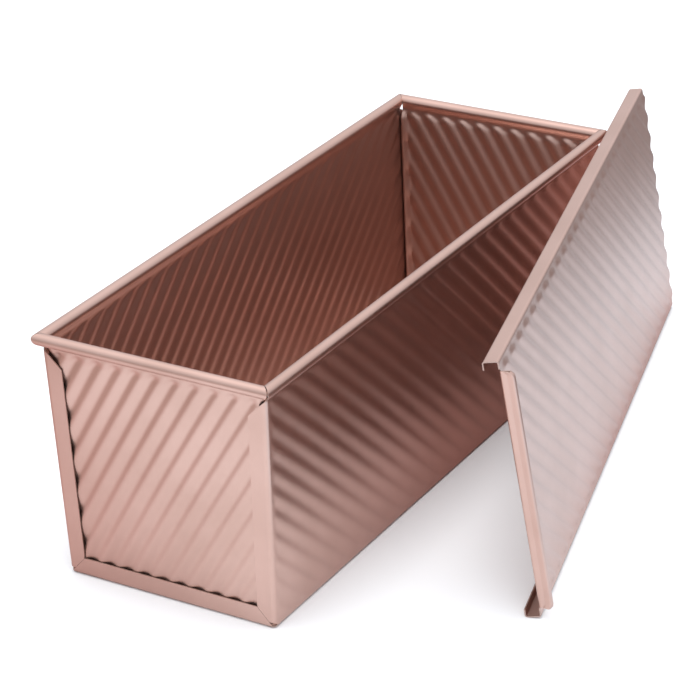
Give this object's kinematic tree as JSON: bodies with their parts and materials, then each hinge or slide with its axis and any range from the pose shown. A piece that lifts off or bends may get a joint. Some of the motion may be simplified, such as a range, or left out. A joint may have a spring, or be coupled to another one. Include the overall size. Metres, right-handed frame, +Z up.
{
  "type": "loaf pan",
  "caption": "Fluted sheet-metal loaf pan with wired rim, framed end panels and a sliding lid with channel edges.",
  "frame": {"origin": "middle of the pan's underside, on the surface it stands on", "axes": "+Z up, X along the pan with its front end at -X, the lid leaning beside it at -Y"},
  "size_m": [0.3844, 0.2198, 0.1234],
  "materials": {
    "coated_sheet": "satin metallic rose-gold non-stick coating on steel sheet",
    "rim_wire": "plain drawn steel wire"
  },
  "bodies": {
    "pan": {"pan_body": "coated_sheet", "front_end_panel": "coated_sheet", "rear_end_panel": "coated_sheet", "rim_wire": "rim_wire"},
    "lid": {"lid": "coated_sheet"}
  },
  "joints": [
    {"name": "lid_slide", "type": "slide", "parent": "pan", "child": "lid", "axis": [-0.9686, -0.2487, 0], "range_m": [0, 0.327]}
  ]
}
